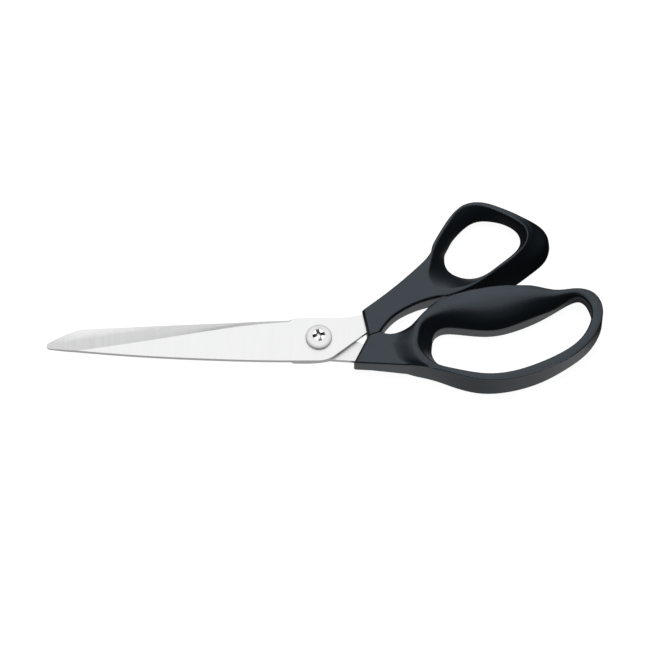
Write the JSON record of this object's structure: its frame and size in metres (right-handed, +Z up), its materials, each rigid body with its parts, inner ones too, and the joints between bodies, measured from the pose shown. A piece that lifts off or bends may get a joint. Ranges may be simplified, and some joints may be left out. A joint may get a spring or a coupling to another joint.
{
  "type": "fabric shears",
  "caption": "Bent-handle fabric shears with straight hollow-ground steel blades, moulded thumb and finger loops, and an adjustable pivot screw.",
  "frame": {"origin": "under the middle of the whole shears, in the plane they lie on", "axes": "+X from the blade tips to the handles, +Y towards the thumb handle, +Z up through the pivot screw's head"},
  "size_m": [0.2538, 0.0916, 0.014],
  "materials": {
    "front_blade_steel": "satin ground stainless steel, brushed across the blade",
    "rear_blade_steel": "satin ground stainless steel, brushed across the blade",
    "thumb_handle_plastic": "black moulded plastic, satin with a fine grain",
    "finger_handle_plastic": "black moulded plastic, satin with a fine grain",
    "screw_steel": "satin nickel plate",
    "washer_nylon": "natural nylon",
    "spring_steel": "bright spring steel",
    "nut_steel": "satin nickel plate"
  },
  "bodies": {
    "finger_half": {"rear_blade": "rear_blade_steel", "finger_handle": "finger_handle_plastic", "pivot_nut": "nut_steel", "spring_washer": "spring_steel", "friction_washer": "washer_nylon"},
    "thumb_half": {"front_blade": "front_blade_steel", "thumb_handle": "thumb_handle_plastic"},
    "screw": {"pivot_screw": "screw_steel"}
  },
  "joints": [
    {"name": "blade_pivot", "type": "hinge", "parent": "finger_half", "child": "thumb_half", "pos_m": [-0.00282, -0.0212, 0.0065], "axis": [0, 0, 1], "range_deg": [0, 100]},
    {"name": "tension_screw", "type": "hinge", "parent": "finger_half", "child": "screw", "pos_m": [-0.00282, -0.0212, 0.0065], "axis": [0, 0, 1], "range_deg": [-45, 90]}
  ]
}
